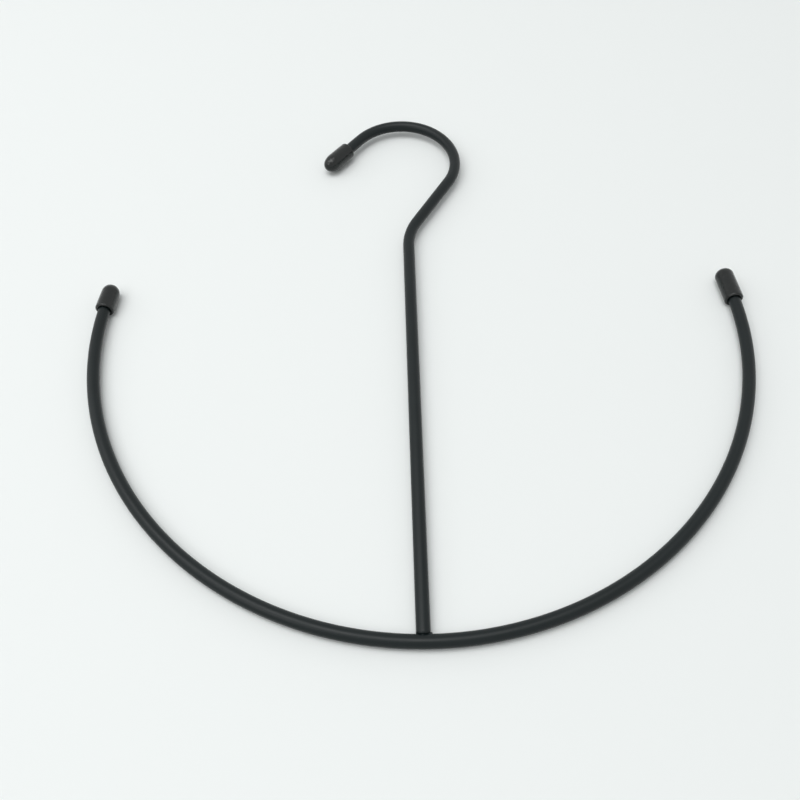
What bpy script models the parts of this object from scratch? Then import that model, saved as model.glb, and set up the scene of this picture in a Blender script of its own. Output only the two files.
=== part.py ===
"""Wire hat rack: a C-shaped arc on a hooked stem, with soft caps on the three ends of wire.

Metres, +Z up. The rack hangs as it is used: its wires lie in the XZ plane, the front faces -Y, and the origin is
the top of the hook's inside, where the rail bears. The arc and the stem are bent from one gauge of round wire, and
each is written as the list of moves that a wire bender makes.
"""

from math import ceil, cos, pi, radians, sin, sqrt, tan

import bmesh
import bpy
from mathutils import Vector

# Wire and fits
WIRE_DIAMETER = 0.0040
WIRE_EDGE = 0.0004
FIT_GAP = 0.0003

# Arc, to the wire's centre line: a rise is how far past level an arm bends, a tail is the straight wire after it
ARC_RADIUS = 0.1070
LEFT_ARM_RISE = radians(7.0)
LEFT_ARM_TAIL = 0.0053
RIGHT_ARM_RISE = radians(5.0)
RIGHT_ARM_TAIL = 0.0083

# Stem and hook, to the wire's centre line: the height and the shank run to the kink's corner
STEM_OFFSET = 0.0023
STEM_HEIGHT = 0.1488
KINK_ANGLE = radians(31.4)
KINK_RADIUS = 0.0228
HOOK_SHANK = 0.0302
HOOK_SIDE_RADIUS = 0.0216
HOOK_SIDE_SWEEP = radians(88.8)
HOOK_CROWN_RADIUS = 0.0201
HOOK_CROWN_SWEEP = radians(83.2)
HOOK_TAIL = 0.0186

# Weld between the stem's foot and the arc: how thick it is there, how far it laps down the arc, how far it swells
WELD_THROAT = 0.0009
WELD_LAP = 0.0012
WELD_SWELL = 0.0004
WELD_LUMP = 0.0004

# Caps: lengths are overall, and a dome is the length of the rounded end
LEFT_CAP_LENGTH = 0.0108
LEFT_CAP_DOME = 0.0032
RIGHT_CAP_LENGTH = 0.0134
RIGHT_CAP_DOME = 0.0026
HOOK_CAP_LENGTH = 0.0130
HOOK_CAP_DOME = 0.0048
CAP_WALL = 0.0008
CAP_END_WALL = 0.0016
CAP_MOUTH_ROUND = 0.0004
CAP_EDGE = 0.0002

# How finely the round forms are divided
WIRE_SIDES = 20
WELD_SIDES = 28
WELD_STEPS = 5
DOME_STEPS = 7
MOUTH_STEPS = 4
ARC_STEP = radians(3.0)
BEND_STEP = radians(6.0)
SHARP_ANGLE = radians(40.0)

WIRE_RADIUS = WIRE_DIAMETER / 2
BORE_RADIUS = WIRE_RADIUS + FIT_GAP
CAP_RADIUS = BORE_RADIUS + CAP_WALL
CAP_STANDOFF = CAP_END_WALL + FIT_GAP
WELD_TOP = WIRE_RADIUS + WELD_THROAT
LEVEL_LEFT = -pi / 2
UPWARD = pi / 2
TOWARDS_BACK = Vector((0, 1, 0))


def direction(heading):
    """The unit vector at an angle from +X towards +Z."""
    return Vector((cos(heading), 0, sin(heading)))


class CentreLine:
    """A wire's centre line in the XZ plane, laid as straight runs and bends, each one tangent to the last.

    Seen from the front, a bend to the left has a positive angle.
    """

    def __init__(self, start, heading):
        self.runs = []
        self.length = 0
        self.end = start
        self.heading = heading

    def straight(self, length):
        self._lay(length, 0, 1)

    def bend(self, radius, angle, step=BEND_STEP):
        """Turns through the angle at the radius, and returns the bend's centre."""
        side = direction(self.heading + pi / 2) * radius
        centre = self.end + side if angle > 0 else self.end - side
        self._lay(radius * abs(angle), angle / abs(angle) / radius, ceil(abs(angle) / step))
        return centre

    def _lay(self, length, curvature, cuts):
        self.runs.append((self.length, length, self.end, self.heading, curvature, cuts))
        self.length += length
        self.end, self.heading = self.at(self.length)

    def at(self, distance):
        """The point and the heading at a distance along the line."""
        begun, _, point, heading, curvature, _ = [run for run in self.runs if run[0] <= distance][-1]
        if curvature == 0:
            return point + direction(heading) * (distance - begun), heading
        turned = heading + curvature * (distance - begun)
        across = direction(heading - pi / 2) - direction(turned - pi / 2)
        return point - across / curvature, turned

    def stops(self, start, end):
        """Distances from start to end, close together round the bends and apart along the straight runs."""
        marks = [begun + length * i / cuts for begun, length, _, _, _, cuts in self.runs for i in range(cuts + 1)]
        return [start, *sorted({m for m in marks if start + WIRE_EDGE < m < end - WIRE_EDGE}), end]


def arc_line():
    """From the tip of the left arm's cap, round the bottom, to the tip of the right arm's."""
    heading = LEVEL_LEFT - LEFT_ARM_RISE
    tail = LEFT_ARM_TAIL + CAP_STANDOFF
    line = CentreLine(direction(pi - LEFT_ARM_RISE) * ARC_RADIUS - direction(heading) * tail, heading)
    line.straight(tail)
    line.bend(ARC_RADIUS, LEFT_ARM_RISE + pi + RIGHT_ARM_RISE, ARC_STEP)
    line.straight(RIGHT_ARM_TAIL + CAP_STANDOFF)
    return line


def stem_foot():
    """The point of the arc's centre line that the stem stands over."""
    return Vector((-STEM_OFFSET, 0, -sqrt(ARC_RADIUS**2 - STEM_OFFSET**2)))


def stem_line():
    """From the arc's centre line up to the tip of the hook's cap, and the centre of the hook's crown."""
    setback = KINK_RADIUS * tan(KINK_ANGLE / 2)
    line = CentreLine(stem_foot(), UPWARD)
    line.straight(STEM_HEIGHT - setback)
    line.bend(KINK_RADIUS, -KINK_ANGLE)
    line.straight(HOOK_SHANK - setback)
    line.bend(HOOK_SIDE_RADIUS, HOOK_SIDE_SWEEP)
    crown = line.bend(HOOK_CROWN_RADIUS, HOOK_CROWN_SWEEP)
    line.straight(HOOK_TAIL + CAP_STANDOFF)
    return line, crown


def skin(rows):
    """A mesh of rings of points joined in order: a row of one point closes an end."""
    shell = bmesh.new()
    rings = [[shell.verts.new(point) for point in row] for row in rows]
    for ring, following in zip(rings, rings[1:]):
        for i in range(max(len(ring), len(following))):
            corners = [ring[i % len(ring)], ring[(i + 1) % len(ring)]]
            corners += [following[(i + 1) % len(following)], following[i % len(following)]]
            shell.faces.new(dict.fromkeys(corners))
    bmesh.ops.recalc_face_normals(shell, faces=shell.faces)
    return shell


def sweep(line, profile):
    """Rows of a round body that follows a centre line. The profile lists distances along it and radii."""
    rows = []
    for distance, radius in profile:
        centre, heading = line.at(distance)
        turns = [2 * pi * i / WIRE_SIDES for i in range(WIRE_SIDES)] if radius else [0]
        outward = direction(heading + pi / 2)
        rows.append([centre + (outward * cos(a) + TOWARDS_BACK * sin(a)) * radius for a in turns])
    return rows


def wire_profile(line, start, end):
    """A cut length of wire, with the burr taken off both ends."""
    flat = WIRE_RADIUS - WIRE_EDGE
    body = [(stop, WIRE_RADIUS) for stop in line.stops(start + WIRE_EDGE, end - WIRE_EDGE)]
    return [(start, 0), (start, flat), *body, (end, flat), (end, 0)]


def cap_profile(line, tip, inward, length, dome):
    """A dipped cap with a blind bore: out over the dome, along to the rounded mouth, and back up the bore.

    The tip is a distance along the line, and inward is 1 or -1, the way from there to the mouth.
    """
    mouth = length - CAP_MOUTH_ROUND
    over = [pi / 2 * i / DOME_STEPS for i in range(DOME_STEPS)]
    outside = [(dome * (1 - cos(a)), CAP_RADIUS * sin(a)) for a in over]
    outside += [(depth, CAP_RADIUS) for depth in depths(line, tip, inward, dome, mouth)]
    under = [pi / 2 * i / MOUTH_STEPS for i in range(1, MOUTH_STEPS + 1)]
    outside += [(mouth + CAP_MOUTH_ROUND * sin(a), CAP_RADIUS - CAP_MOUTH_ROUND * (1 - cos(a))) for a in under]
    bore = [(depth, BORE_RADIUS) for depth in depths(line, tip, inward, CAP_END_WALL, length - CAP_EDGE)]
    inside = [(length, BORE_RADIUS + CAP_EDGE), *reversed(bore), (CAP_END_WALL, 0)]
    return [(tip + inward * depth, radius) for depth, radius in outside + inside]


def depths(line, tip, inward, start, end):
    """Depths below a cap's tip, from start to end, that follow the bend of the wire under it."""
    ends = sorted((tip + inward * start, tip + inward * end))
    return sorted(abs(stop - tip) for stop in line.stops(*ends))


def weld_rows(foot):
    """A column of weld metal under the stem, swollen at the bottom and lumpy on its right side."""
    bottom = WIRE_RADIUS - WELD_LAP
    rows = [[foot + Vector((0, 0, bottom))]]
    for i in range(WELD_STEPS + 1):
        rise = i / WELD_STEPS
        height = bottom + (WELD_TOP - bottom) * rise
        row = []
        for j in range(WELD_SIDES):
            a = 2 * pi * j / WELD_SIDES
            swell = (WELD_SWELL + WELD_LUMP * max(0, cos(a)) ** 2) * (1 - rise**2)
            around = Vector((cos(a), sin(a), 0)) * (WIRE_RADIUS + swell)
            row.append(foot + around + Vector((0, 0, height)))
        rows.append(row)
    return [*rows, [foot + Vector((0, 0, WELD_TOP))]]


def finish(name, colour, roughness):
    """A dark coat or moulding with no metal in it."""
    material = bpy.data.materials.new(name)
    material.use_nodes = True
    shader = material.node_tree.nodes["Principled BSDF"]
    shader.inputs["Base Color"].default_value = colour
    shader.inputs["Roughness"].default_value = roughness
    shader.inputs["Metallic"].default_value = 0
    return material


def powder_coat(node):
    """Satin black powder coat, sprayed on each length of wire."""
    return finish(f"{node}_powder_coat", (0.030, 0.034, 0.036, 1), 0.45)


def vinyl(node):
    """Black dipped vinyl, glossier than the wire."""
    return finish(f"{node}_vinyl", (0.026, 0.029, 0.030, 1), 0.32)


def add(name, rows, rack, material=None):
    """A named object hung on the rack's empty."""
    mesh = bpy.data.meshes.new(name)
    shell = skin(rows)
    shell.to_mesh(mesh)
    shell.free()
    mesh.shade_smooth()
    mesh.set_sharp_from_angle(angle=SHARP_ANGLE)
    if material:
        mesh.materials.append(material)
    item = bpy.data.objects.new(name, mesh)
    bpy.context.collection.objects.link(item)
    item.parent = rack
    return item


def add_arc(line, rack):
    """The arc: one length of wire, its ends inside the two arm caps."""
    profile = wire_profile(line, CAP_STANDOFF, line.length - CAP_STANDOFF)
    return add("hat_arc", sweep(line, profile), rack, powder_coat("hat_arc"))


def add_stem(line, rack):
    """The stem and hook: one length of wire, from the weld to the end inside the hook's cap."""
    profile = wire_profile(line, WELD_TOP + FIT_GAP, line.length - CAP_STANDOFF)
    return add("hook_stem", sweep(line, profile), rack, powder_coat("hook_stem"))


def add_weld(line, rack):
    """The weld: a column of metal saddled over the arc, which clears it all round."""
    weld = add("stem_weld", weld_rows(stem_foot()), rack, powder_coat("stem_weld"))
    bottom = line.runs[1][0] + ARC_RADIUS * (LEFT_ARM_RISE + pi / 2)
    reach = WIRE_DIAMETER + WELD_SWELL + WELD_LUMP + STEM_OFFSET
    stops = line.stops(bottom - reach, bottom + reach)
    tube = [(stops[0], 0), *[(stop, BORE_RADIUS) for stop in stops], (stops[-1], 0)]
    saddle = add("stem_weld_saddle", sweep(line, tube), rack)
    saddle.hide_render = True
    saddle.display_type = "WIRE"
    cut = weld.modifiers.new("saddle", "BOOLEAN")
    cut.object = saddle
    cut.operation = "DIFFERENCE"
    cut.solver = "EXACT"
    return weld


def add_cap(name, line, tip, inward, length, dome, rack):
    """A soft cap, pushed on until the wire meets its end wall."""
    return add(name, sweep(line, cap_profile(line, tip, inward, length, dome)), rack, vinyl(name))


for leftover in list(bpy.data.objects):
    bpy.data.objects.remove(leftover)

arc = arc_line()
stem, crown_centre = stem_line()

# The drawing is laid out about the arc's centre, and the empty moves it so that the rail's seat is the origin
hung = bpy.data.objects.new("rack", None)
hung.location = -crown_centre - Vector((0, 0, HOOK_CROWN_RADIUS - WIRE_RADIUS))
bpy.context.collection.objects.link(hung)

add_arc(arc, hung)
add_stem(stem, hung)
add_weld(arc, hung)
add_cap("left_arm_cap", arc, 0, 1, LEFT_CAP_LENGTH, LEFT_CAP_DOME, hung)
add_cap("right_arm_cap", arc, arc.length, -1, RIGHT_CAP_LENGTH, RIGHT_CAP_DOME, hung)
add_cap("hook_cap", stem, stem.length, -1, HOOK_CAP_LENGTH, HOOK_CAP_DOME, hung)
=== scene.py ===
from math import atan, hypot, pi, radians, sqrt, tan

import bpy
import numpy as np
from mathutils import Matrix, Vector


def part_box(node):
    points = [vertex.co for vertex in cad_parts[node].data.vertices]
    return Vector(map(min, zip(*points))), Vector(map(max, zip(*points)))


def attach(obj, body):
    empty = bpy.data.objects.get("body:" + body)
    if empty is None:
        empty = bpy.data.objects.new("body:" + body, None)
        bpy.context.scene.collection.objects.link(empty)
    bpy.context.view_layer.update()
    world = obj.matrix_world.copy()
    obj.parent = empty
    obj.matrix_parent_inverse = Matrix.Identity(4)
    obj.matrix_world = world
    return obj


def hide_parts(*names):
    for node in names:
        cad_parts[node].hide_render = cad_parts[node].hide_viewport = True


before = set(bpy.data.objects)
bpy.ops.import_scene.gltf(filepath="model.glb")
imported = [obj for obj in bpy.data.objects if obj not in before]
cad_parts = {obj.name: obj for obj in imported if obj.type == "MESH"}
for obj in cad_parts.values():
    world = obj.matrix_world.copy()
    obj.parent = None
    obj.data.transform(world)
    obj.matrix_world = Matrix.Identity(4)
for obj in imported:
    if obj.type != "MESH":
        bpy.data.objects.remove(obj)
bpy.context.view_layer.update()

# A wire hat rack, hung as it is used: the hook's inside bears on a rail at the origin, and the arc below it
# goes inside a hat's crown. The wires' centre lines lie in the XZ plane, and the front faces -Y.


# The arc: one length of round steel wire, rolled to a little over half a circle. Its two arms run off
# straight into their caps, and it is powder coated black together with the stem once the two are welded.
MM = 0.001
arc_low, arc_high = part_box("hat_arc")
WIRE_RADIUS = (arc_high.y - arc_low.y) / 2
WIRE_SIDES = 64
WIRE_STEP = 0.7 * MM
BURR = 0.4 * MM
ARC_RADIUS = 107.0 * MM
LEFT_ARM_RISE = radians(7.0)
LEFT_ARM_TAIL = 5.3 * MM
RIGHT_ARM_RISE = radians(5.0)
RIGHT_ARM_TAIL = 8.3 * MM
ARC_BOTTOM = arc_low.z
ARC_CENTRE = np.array([(arc_low.x + arc_high.x) / 2, ARC_BOTTOM + WIRE_RADIUS + ARC_RADIUS])
COAT_DARK = "#0a1314"
COAT_LIGHT = "#10191a"
COAT_SPECULAR = 0.24
COAT_SMOOTHEST = 0.33
COAT_ROUGHEST = 0.41
CLOUD_WIDTH = 9 * MM
PEEL_WIDTH = 0.9 * MM
PEEL_DEPTH = 0.03 * MM
GRAIN_WIDTH = 0.25 * MM
GRAIN_DEPTH = 0.006 * MM
NOISE_LOW = 0.3
NOISE_HIGH = 0.7


def heading_vector(angle):
    """The unit vector (x, z) at an angle from +X towards +Z, for one angle or an array of them."""
    return np.stack([np.cos(angle), np.sin(angle)], axis=-1)


def follow(start, heading, moves, distance):
    """Places (x, z) and headings at distances along a bent wire, whose moves are pairs of length and turn.

    The heading turns evenly through each move. So the chord from the move's start to a place points half
    that place's turn away from the first heading, and it is the run times sin(half turn) / (half turn).
    """
    place = np.zeros((len(distance), 2)) + start
    turned = np.full(len(distance), heading)
    begun = 0.0
    for length, turn in moves:
        run = np.clip(distance - begun, 0, length)
        half = turn * run / length / 2
        place += (run * np.sinc(half / pi))[:, None] * heading_vector(heading + half)
        turned += 2 * half
        heading += turn
        begun += length
    return place, turned


def rings(place, heading, radius, sides):
    """Rings of points square to a line, one at each place on it, with a radius for each ring.

    A point lies the radius times the cosine of its turn to the line's left, as seen from the front, and the
    radius times the sine of its turn to the back.
    """
    turn = np.linspace(0, 2 * pi, sides, endpoint=False)
    left = heading_vector(heading + pi / 2)
    across = radius[:, None] * np.cos(turn)
    return np.stack([
        place[:, :1] + left[:, :1] * across,
        radius[:, None] * np.sin(turn),
        place[:, 1:] + left[:, 1:] * across,
    ], axis=-1)


def skin(name, grid, finish):
    """A closed, smooth mesh over a grid of rings of points, with a point at the middle of each end ring.

    Each point is joined to the next one round its ring and to the same one on the next ring, and the first
    and the last ring are closed by a fan of triangles.
    """
    count, sides = grid.shape[:2]
    points = np.concatenate([grid.reshape(-1, 3), grid[[0, -1]].mean(axis=1)])
    here = np.arange(count * sides).reshape(count, sides)
    following = np.roll(here, -1, axis=1)
    quads = np.stack([here[:-1], here[1:], following[1:], following[:-1]], axis=-1).reshape(-1, 4)
    first = count * sides
    last = first + 1
    opening = np.stack([here[0], following[0], np.full(sides, first)], axis=-1)
    closing = np.stack([following[-1], here[-1], np.full(sides, last)], axis=-1)
    mesh = bpy.data.meshes.new(name)
    mesh.from_pydata(points.tolist(), [], [*quads.tolist(), *opening.tolist(), *closing.tolist()])
    mesh.shade_smooth()
    mesh.materials.append(finish)
    piece = bpy.data.objects.new(name, mesh)
    bpy.context.collection.objects.link(piece)
    return piece


def linear(colour):
    """An sRGB hex colour as linear red, green, blue and alpha, by the sRGB standard's own curve."""
    srgb = np.array([int(colour[i:i + 2], 16) for i in (1, 3, 5)]) / 255
    rgb = np.where(srgb <= 0.04045, srgb / 12.92, ((srgb + 0.055) / 1.055) ** 2.4)
    return (*rgb.tolist(), 1.0)


def node(tree, kind, inputs=None, **settings):
    """Adds a node of a kind with its settings. Each input takes a value or another node's output."""
    added = tree.nodes.new(kind)
    for key, value in settings.items():
        setattr(added, key, value)
    for key, value in (inputs or {}).items():
        if isinstance(value, bpy.types.NodeSocket):
            tree.links.new(value, added.inputs[key])
        else:
            added.inputs[key].default_value = value
    return added


def satin_powder_coat():
    """Black polyester powder, sprayed on and baked: an even satin skin with a low, fine orange peel.

    It gives the eye a soft, wide highlight along the wire that the peel breaks up slightly. Tone and sheen
    drift a little every 9 mm or so. The peel is 0.9 mm from hump to hump, and the grain of the powder,
    really about 0.05 mm, is drawn at 0.25 mm so that it shows.
    """
    material = bpy.data.materials.new("satin_powder_coat")
    material.use_nodes = True
    tree = material.node_tree
    shader = tree.nodes["Principled BSDF"]
    place = node(tree, "ShaderNodeTexCoord").outputs["Object"]
    peel = node(tree, "ShaderNodeTexNoise", {"Vector": place, "Scale": 1 / PEEL_WIDTH, "Detail": 2.0})
    grain = node(tree, "ShaderNodeTexNoise", {"Vector": place, "Scale": 1 / GRAIN_WIDTH, "Detail": 1.0})
    cloud = node(tree, "ShaderNodeTexNoise", {"Vector": place, "Scale": 1 / CLOUD_WIDTH, "Detail": 3.0})
    tone = node(tree, "ShaderNodeMix", {
        "Factor": cloud.outputs["Fac"],
        "A": linear(COAT_DARK),
        "B": linear(COAT_LIGHT),
    }, data_type="RGBA")
    gloss = node(tree, "ShaderNodeMapRange", {
        "Value": cloud.outputs["Fac"],
        "From Min": NOISE_LOW,
        "From Max": NOISE_HIGH,
        "To Min": COAT_SMOOTHEST,
        "To Max": COAT_ROUGHEST,
    })
    humps = node(tree, "ShaderNodeBump", {"Height": peel.outputs["Fac"], "Distance": PEEL_DEPTH})
    relief = node(tree, "ShaderNodeBump", {
        "Height": grain.outputs["Fac"],
        "Distance": GRAIN_DEPTH,
        "Normal": humps.outputs["Normal"],
    })
    tree.links.new(tone.outputs["Result"], shader.inputs["Base Color"])
    tree.links.new(gloss.outputs["Result"], shader.inputs["Roughness"])
    tree.links.new(relief.outputs["Normal"], shader.inputs["Normal"])
    shader.inputs["Specular IOR Level"].default_value = COAT_SPECULAR
    return material


def wire(name, start, heading, moves, finish):
    """A length of wire along its moves, with the burr filed off both ends.

    The radius is the wire's own, less whatever the place lacks of the burr's length to the nearer end.
    """
    length = sum(run for run, _ in moves)
    between = np.linspace(BURR, length - BURR, int(length / WIRE_STEP))
    distance = np.concatenate([[0, BURR / 2], between, [length - BURR / 2, length]])
    radius = WIRE_RADIUS - np.clip(BURR - np.minimum(distance, length - distance), 0, BURR)
    place, turned = follow(start, heading, moves, distance)
    return skin(name, rings(place, turned, radius, WIRE_SIDES), finish)


coat = satin_powder_coat()
arc_heading = -pi / 2 - LEFT_ARM_RISE
arc_turn = LEFT_ARM_RISE + pi + RIGHT_ARM_RISE
arc_moves = [(LEFT_ARM_TAIL, 0), (ARC_RADIUS * arc_turn, arc_turn), (RIGHT_ARM_TAIL, 0)]
arc_left_bend = ARC_CENTRE + heading_vector(pi - LEFT_ARM_RISE) * ARC_RADIUS
arc_left_end = arc_left_bend - heading_vector(arc_heading) * LEFT_ARM_TAIL
arc_wire = wire("arc_wire", arc_left_end, arc_heading, arc_moves, coat)
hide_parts("hat_arc")
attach(arc_wire, "root")


# The stem: a second length of the same wire, straight from the weld up to a kink, then turned over in two
# bends to make the hook. It is bent on the same machine, so every bend runs smoothly into the next straight.
STEM_OFFSET = 2.3 * MM
STEM_HEIGHT = 148.8 * MM
FOOT_SINK = 0.4 * MM
KINK_ANGLE = radians(31.4)
KINK_RADIUS = 22.8 * MM
HOOK_SHANK = 30.2 * MM
HOOK_SIDE_RADIUS = 21.6 * MM
HOOK_SIDE_SWEEP = radians(88.8)
HOOK_CROWN_RADIUS = 20.1 * MM
HOOK_CROWN_SWEEP = radians(83.2)
HOOK_TAIL = 18.6 * MM

stem_foot = ARC_CENTRE + np.array([-STEM_OFFSET, -sqrt(ARC_RADIUS**2 - STEM_OFFSET**2)])
stem_start = stem_foot + np.array([0, WIRE_RADIUS - FOOT_SINK])
kink_setback = KINK_RADIUS * tan(KINK_ANGLE / 2)
stem_moves = [
    (STEM_HEIGHT - kink_setback - WIRE_RADIUS + FOOT_SINK, 0),
    (KINK_RADIUS * KINK_ANGLE, -KINK_ANGLE),
    (HOOK_SHANK - kink_setback, 0),
    (HOOK_SIDE_RADIUS * HOOK_SIDE_SWEEP, HOOK_SIDE_SWEEP),
    (HOOK_CROWN_RADIUS * HOOK_CROWN_SWEEP, HOOK_CROWN_SWEEP),
    (HOOK_TAIL, 0),
]
stem_wire = wire("stem_wire", stem_start, pi / 2, stem_moves, coat)
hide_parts("hook_stem")
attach(stem_wire, "root")


# The weld: the stem's foot is pressed onto the arc and fused to it at its middle. So a dark notch is left
# round the foot's filed edge at the front and the back, and a little molten steel is squeezed out on the
# right. Each pair in its ripples is a number of waves round the stem and the angle that they start at.
NECK_RADIUS = 1.35 * MM
NECK_RIPPLE = 0.1 * MM
NECK_WAVES = [(3, 0.8), (7, 0.0), (11, 2.0)]
NECK_LAP = radians(62)
SPILL_RISE = 0.8 * MM
SPILL_SPREAD = 0.55 * MM
BEAD_SIDES = 96
BEAD_STEPS = 14
SUNK = 0.03 * MM


def bead(name, foot, finish):
    """The fused metal under the stem's foot, on a grid of angles round the stem by steps down to the arc.

    At each angle it is a quadratic Bezier curve. Its top is on the stem's foot, at a radius that grows from
    the neck's to the wire's with the square of the cosine of the angle from the right. Its bottom is on the
    arc, as far round its wire as the lap times the sine. Its control point is halfway between them in height
    and depth, and sideways as far out as the wider one. The spill is the fourth power of the cosine, on the
    right only. It lifts the top, moves the bottom out, and moves the control point both ways.
    """
    angle = np.linspace(0, 2 * pi, BEAD_SIDES, endpoint=False)
    step = np.linspace(0, 1, BEAD_STEPS)[:, None, None]
    across = np.cos(angle)
    depth = np.sin(angle)
    spill = np.clip(across, 0, 1) ** 4
    ripple = NECK_RIPPLE * sum(np.sin(waves * angle + first) for waves, first in NECK_WAVES)
    top = WIRE_RADIUS - SUNK
    neck = NECK_RADIUS + ripple
    end = WIRE_RADIUS - FOOT_SINK
    reach = neck + (top - neck) * across**2
    on_stem = np.stack([reach * across, reach * depth, end + SUNK + SPILL_RISE * spill], axis=-1)
    wrap = NECK_LAP * depth
    spread = top + SPILL_SPREAD * spill
    on_arc = np.stack([spread * across, top * np.sin(wrap), top * np.cos(wrap)], axis=-1)
    bulge = np.maximum(reach, spread)
    middle = (on_stem[:, 2] + on_arc[:, 2]) / 2 + SPILL_RISE / 2 * spill
    control = np.stack([bulge * across, (reach * depth + on_arc[:, 1]) / 2, middle], axis=-1)
    curve = (1 - step) ** 2 * on_stem + 2 * step * (1 - step) * control + step**2 * on_arc
    return skin(name, curve + np.array([foot[0], 0, foot[1]]), finish)


weld_bead = bead("weld_bead", stem_foot, coat)
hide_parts("stem_weld")
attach(weld_bead, "root")


# The caps: each cut end of wire is covered by a soft black vinyl cap, dip moulded over a pin, so it has a
# blind bore, a rounded end and a soft edge to its mouth. They are pushed on and hold by their own grip.
CAP_END_WALL = 1.9 * MM
CAP_MOUTH_ROUND = 0.6 * MM
CAP_SNUG = 0.02 * MM
CAP_BORE_SHOWN = 3.0 * MM
CAP_SIDES = 72
CAP_DOME_STEPS = 22
CAP_DOME_START = 0.03
CAP_SIDE_STEPS = 40
CAP_EDGE_STEPS = 9
VINYL_DARK = "#070d0c"
VINYL_LIGHT = "#0c1312"
VINYL_SPECULAR = 0.38
VINYL_SMOOTHEST = 0.1
VINYL_ROUGHEST = 0.18
RIPPLE_WIDTH = 0.9 * MM
RIPPLE_DEPTH = 0.12 * MM
PIT_WIDTH = 0.3 * MM
PIT_DEPTH = 0.006 * MM


def dipped_vinyl():
    """Plasticised PVC, dipped and cured: smoother and glossier than the wire, with slow ripples from the dip.

    It gives the eye small, bright, broken highlights on the rounded end and the mouth's edge. The ripples
    are 0.9 mm apart, and the fine pits that dull it, really about 0.05 mm, are drawn at 0.3 mm so that they
    show.
    """
    material = bpy.data.materials.new("dipped_vinyl")
    material.use_nodes = True
    tree = material.node_tree
    shader = tree.nodes["Principled BSDF"]
    place = node(tree, "ShaderNodeTexCoord").outputs["Object"]
    ripple = node(tree, "ShaderNodeTexNoise", {"Vector": place, "Scale": 1 / RIPPLE_WIDTH, "Detail": 1.0})
    pits = node(tree, "ShaderNodeTexNoise", {"Vector": place, "Scale": 1 / PIT_WIDTH, "Detail": 2.0})
    tone = node(tree, "ShaderNodeMix", {
        "Factor": ripple.outputs["Fac"],
        "A": linear(VINYL_DARK),
        "B": linear(VINYL_LIGHT),
    }, data_type="RGBA")
    gloss = node(tree, "ShaderNodeMapRange", {
        "Value": pits.outputs["Fac"],
        "From Min": NOISE_LOW,
        "From Max": NOISE_HIGH,
        "To Min": VINYL_SMOOTHEST,
        "To Max": VINYL_ROUGHEST,
    })
    waves = node(tree, "ShaderNodeBump", {"Height": ripple.outputs["Fac"], "Distance": RIPPLE_DEPTH})
    relief = node(tree, "ShaderNodeBump", {
        "Height": pits.outputs["Fac"],
        "Distance": PIT_DEPTH,
        "Normal": waves.outputs["Normal"],
    })
    tree.links.new(tone.outputs["Result"], shader.inputs["Base Color"])
    tree.links.new(gloss.outputs["Result"], shader.inputs["Roughness"])
    tree.links.new(relief.outputs["Normal"], shader.inputs["Normal"])
    shader.inputs["Specular IOR Level"].default_value = VINYL_SPECULAR
    return material


def cap_outline(length, dome, mouth_radius, end_radius, bluntness):
    """Depths below the tip and radii of a cap: over its end, down its side, round its mouth and up its bore.

    The end is a superellipse of the given bluntness, where 2 is an ellipse: to the power 2 / bluntness, its
    radius goes as the sine and its height as the cosine. The side runs straight to the mouth, whose edge is
    a quarter circle. The bore is drawn only a little way in, because the wire fills it.
    """
    over = np.linspace(CAP_DOME_START, 1, CAP_DOME_STEPS) * pi / 2
    end_depth = dome * (1 - np.cos(over) ** (2 / bluntness))
    end = end_radius * np.sin(over) ** (2 / bluntness)
    side_depth = np.linspace(dome, length - CAP_MOUTH_ROUND, CAP_SIDE_STEPS)[1:]
    side = np.linspace(end_radius, mouth_radius, CAP_SIDE_STEPS)[1:]
    edge = np.linspace(0, 1, CAP_EDGE_STEPS)[1:] * pi / 2
    edge_depth = length - CAP_MOUTH_ROUND * (1 - np.sin(edge))
    rounded = mouth_radius - CAP_MOUTH_ROUND * (1 - np.cos(edge))
    bore = WIRE_RADIUS + CAP_SNUG
    throat_depth = length - np.array([0, CAP_MOUTH_ROUND / 2, CAP_BORE_SHOWN])
    throat = np.array([bore + CAP_MOUTH_ROUND / 3, bore, bore])
    depths = np.concatenate([end_depth, side_depth, edge_depth, throat_depth])
    radii = np.concatenate([end, side, rounded, throat])
    return depths, radii


def cap(name, node_name, line, tip, inward, outline, finish):
    """A cap on a wire's line, with its tip at a distance along it and its outline carried along the line.

    Inward is 1 or -1, the way from the tip to the mouth. At -1 each ring runs the other way round, so that
    the faces still point outwards.
    """
    depths, radii = outline
    place, heading = follow(*line, tip + inward * depths)
    grid = rings(place, heading, radii, CAP_SIDES)
    piece = skin(name, grid if inward > 0 else grid[:, ::-1], finish)
    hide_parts(node_name)
    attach(piece, "root")


def capped(start, heading, moves, first, last):
    """A wire's line, as its start, heading and moves, made longer at its two ends by the caps' end walls."""
    moves = [(moves[0][0] + first, 0), *moves[1:-1], (moves[-1][0] + last, 0)]
    return start - heading_vector(heading) * first, heading, moves


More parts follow.
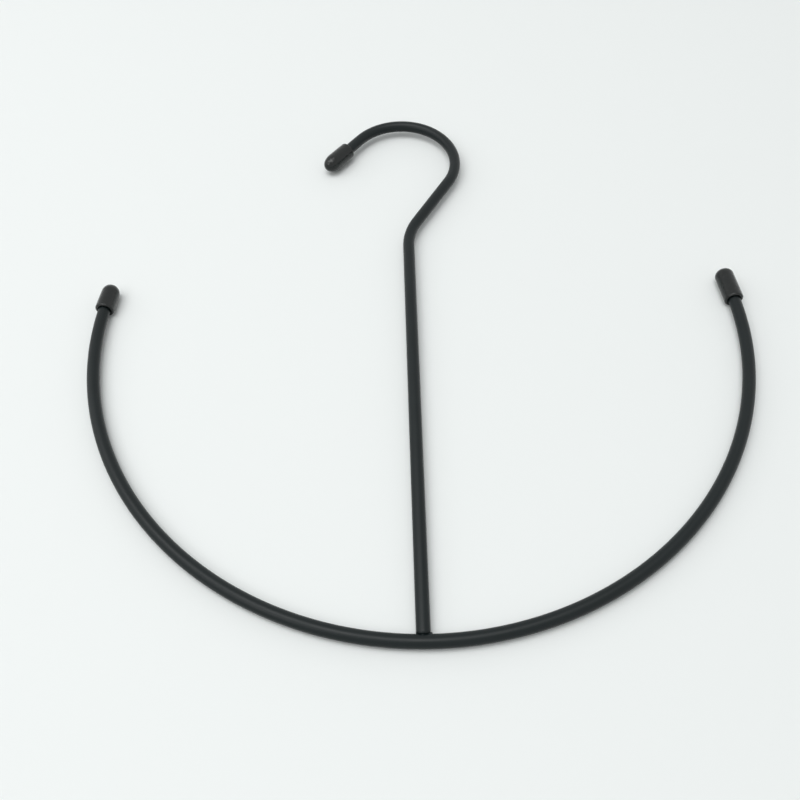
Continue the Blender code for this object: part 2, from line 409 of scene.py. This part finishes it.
vinyl = dipped_vinyl()
arc_line = capped(arc_left_end, arc_heading, arc_moves, CAP_END_WALL, CAP_END_WALL)
stem_line = capped(stem_start, pi / 2, stem_moves, 0, CAP_END_WALL)
arc_length = sum(run for run, _ in arc_line[2])
stem_length = sum(run for run, _ in stem_line[2])
left_outline = cap_outline(
    length=10.8 * MM,
    dome=3.2 * MM,
    mouth_radius=3.1 * MM,
    end_radius=2.98 * MM,
    bluntness=2.0,
)
right_outline = cap_outline(
    length=13.15 * MM,
    dome=2.6 * MM,
    mouth_radius=3.1 * MM,
    end_radius=3.08 * MM,
    bluntness=2.2,
)
hook_outline = cap_outline(
    length=13.0 * MM,
    dome=4.8 * MM,
    mouth_radius=3.08 * MM,
    end_radius=3.15 * MM,
    bluntness=2.1,
)
cap("left_tip_cap", "left_arm_cap", arc_line, 0, 1, left_outline, vinyl)
cap("right_tip_cap", "right_arm_cap", arc_line, arc_length, -1, right_outline, vinyl)
cap("hook_tip_cap", "hook_cap", stem_line, stem_length, -1, hook_outline, vinyl)


# The table top: a smooth white laminate, which the rack lies on in the photograph. The rack hangs here, so
# the table stands upright behind it. It all but touches the arc's bottom and the thicker arm caps, so it
# leans away a little from the hook.
TABLE_WHITE = "#eef2f1"
TABLE_ROUGHNESS = 0.6
TABLE_SPECULAR = 0.1
TABLE_SIZE = 4.0
TABLE_GAP = 0.05 * MM
left_cap_low, left_cap_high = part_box("left_arm_cap")
table_foot = np.array([0, WIRE_RADIUS + TABLE_GAP, ARC_BOTTOM + WIRE_RADIUS])
table_rest = np.array([0, left_cap_high.y + TABLE_GAP, left_cap_low.z])
table_up = (table_rest - table_foot) / np.linalg.norm(table_rest - table_foot)


def white_laminate():
    """Matt white laminate, plain and pale, which keeps the rack's soft shadow.

    Its back is clear and it casts no shadow, so that the eye and the back lamp reach the rack from behind.
    """
    material = bpy.data.materials.new("white_laminate")
    material.use_nodes = True
    tree = material.node_tree
    shader = tree.nodes["Principled BSDF"]
    shader.inputs["Base Color"].default_value = linear(TABLE_WHITE)
    shader.inputs["Roughness"].default_value = TABLE_ROUGHNESS
    shader.inputs["Specular IOR Level"].default_value = TABLE_SPECULAR
    back = node(tree, "ShaderNodeNewGeometry").outputs["Backfacing"]
    shadow = node(tree, "ShaderNodeLightPath").outputs["Is Shadow Ray"]
    unseen = node(tree, "ShaderNodeMath", {0: back, 1: shadow}, operation="MAXIMUM")
    clear = node(tree, "ShaderNodeBsdfTransparent")
    mixed = node(tree, "ShaderNodeMixShader", {
        0: unseen.outputs["Value"],
        1: shader.outputs["BSDF"],
        2: clear.outputs["BSDF"],
    })
    tree.links.new(mixed.outputs["Shader"], tree.nodes["Material Output"].inputs["Surface"])
    return material


table_side = np.array([TABLE_SIZE / 2, 0, 0])
table_high = table_foot + table_up * TABLE_SIZE / 2
table_low = table_foot - table_up * TABLE_SIZE / 2
table_corners = np.array([
    table_low - table_side,
    table_low + table_side,
    table_high + table_side,
    table_high - table_side,
])
table_mesh = bpy.data.meshes.new("table_top")
table_mesh.from_pydata(table_corners.tolist(), [], [(0, 1, 2, 3)])
table_mesh.materials.append(white_laminate())
table_top = bpy.data.objects.new("table_top", table_mesh)
bpy.context.collection.objects.link(table_top)


# The light: a pale room, darker towards the photograph's near edge, but white where the camera or a
# reflection sees it. A wide soft lamp with a bright tube at its middle stands straight out from the table. To
# its left are a small lamp, a window, and one more lamp low down. The back lamp serves the views from behind.
ROOM_BELOW = 0.22
ROOM_ABOVE = 0.66
RACK_MIDDLE = Vector((0, 0, -0.1))


def lamp(name, place, size, level):
    """A square lamp that faces the rack's middle, with the power that adds its level to a white card there.

    The card faces the lamp, and a level of 1 is white. The lamp fills 4 / pi * slope * arctan(slope) of
    what the card sees, where slope is half the lamp's size over the distance from the card to the middle
    of the lamp's side. Its power is pi times its area times its level over that share.
    """
    light = bpy.data.lights.new(name, "AREA")
    aim = RACK_MIDDLE - Vector(place)
    slope = size / 2 / hypot(size / 2, aim.length)
    share = 4 / pi * slope * atan(slope)
    light.size = size
    light.energy = level * pi * size**2 / share
    shown = bpy.data.objects.new(name, light)
    shown.location = place
    shown.rotation_mode = "QUATERNION"
    shown.rotation_quaternion = aim.to_track_quat("-Z", "Y")
    shown.visible_camera = False
    bpy.context.collection.objects.link(shown)


lamp("overhead_lamp", place=(-0.16, -1.59, -0.09), size=1.25, level=0.285)
lamp("overhead_tube", place=(-0.16, -1.56, -0.09), size=0.3, level=0.08)
lamp("side_lamp", place=(-0.8, -1.4, 0.1), size=0.6, level=0.08)
lamp("window_lamp", place=(-1.25, -1.05, 0.1), size=1.2, level=0.11)
lamp("near_lamp", place=(-0.85, -1.15, -0.85), size=0.6, level=0.1)
lamp("back_lamp", place=(0.6, 1.2, 0.5), size=0.8, level=0.3)

world = bpy.data.worlds.new("pale_room")
world.use_nodes = True
bpy.context.scene.world = world
sky = world.node_tree
room = sky.nodes["Background"]
room.inputs["Color"].default_value = (1, 1, 1, 1)
outwards = node(sky, "ShaderNodeTexCoord").outputs["Generated"]
direction = node(sky, "ShaderNodeSeparateXYZ", {"Vector": outwards})
falloff = node(sky, "ShaderNodeMapRange", {
    "Value": direction.outputs["Z"],
    "From Min": -1.0,
    "From Max": 1.0,
    "To Min": ROOM_BELOW,
    "To Max": ROOM_ABOVE,
})
ray = node(sky, "ShaderNodeLightPath").outputs
bent = node(sky, "ShaderNodeMath", {
    0: ray["Is Glossy Ray"],
    1: ray["Is Transmission Ray"],
}, operation="MAXIMUM")
seen = node(sky, "ShaderNodeMath", {
    0: ray["Is Camera Ray"],
    1: bent.outputs["Value"],
}, operation="MAXIMUM")
strength = node(sky, "ShaderNodeMath", {
    0: falloff.outputs["Result"],
    1: seen.outputs["Value"],
}, operation="MAXIMUM")
sky.links.new(strength.outputs["Value"], room.inputs["Strength"])


# The camera: it looks up the rack from below its arc, as the photograph does from the near edge of the table.
CAMERA_PLACE = (-2.17 * MM, -222.9 * MM, -275.4 * MM)
CAMERA_LENS = 38.25
CAMERA_SENSOR = 36
CAMERA_NEAREST = 5 * MM
CAMERA_PITCH = radians(33.39)
CAMERA_TURN = radians(0.11)
CAMERA_ROLL = radians(-1.59)

camera = bpy.data.cameras.new("photograph")
camera.lens = CAMERA_LENS
camera.sensor_width = CAMERA_SENSOR
camera.clip_start = CAMERA_NEAREST
viewpoint = bpy.data.objects.new("photograph", camera)
upright = Matrix.Rotation(pi / 2 + CAMERA_PITCH, 4, "X") @ Matrix.Rotation(CAMERA_TURN, 4, "Y")
viewpoint.matrix_world = Matrix.Translation(CAMERA_PLACE) @ upright @ Matrix.Rotation(CAMERA_ROLL, 4, "Z")
bpy.context.collection.objects.link(viewpoint)
bpy.context.scene.camera = viewpoint
bpy.context.scene.view_settings.view_transform = "Standard"
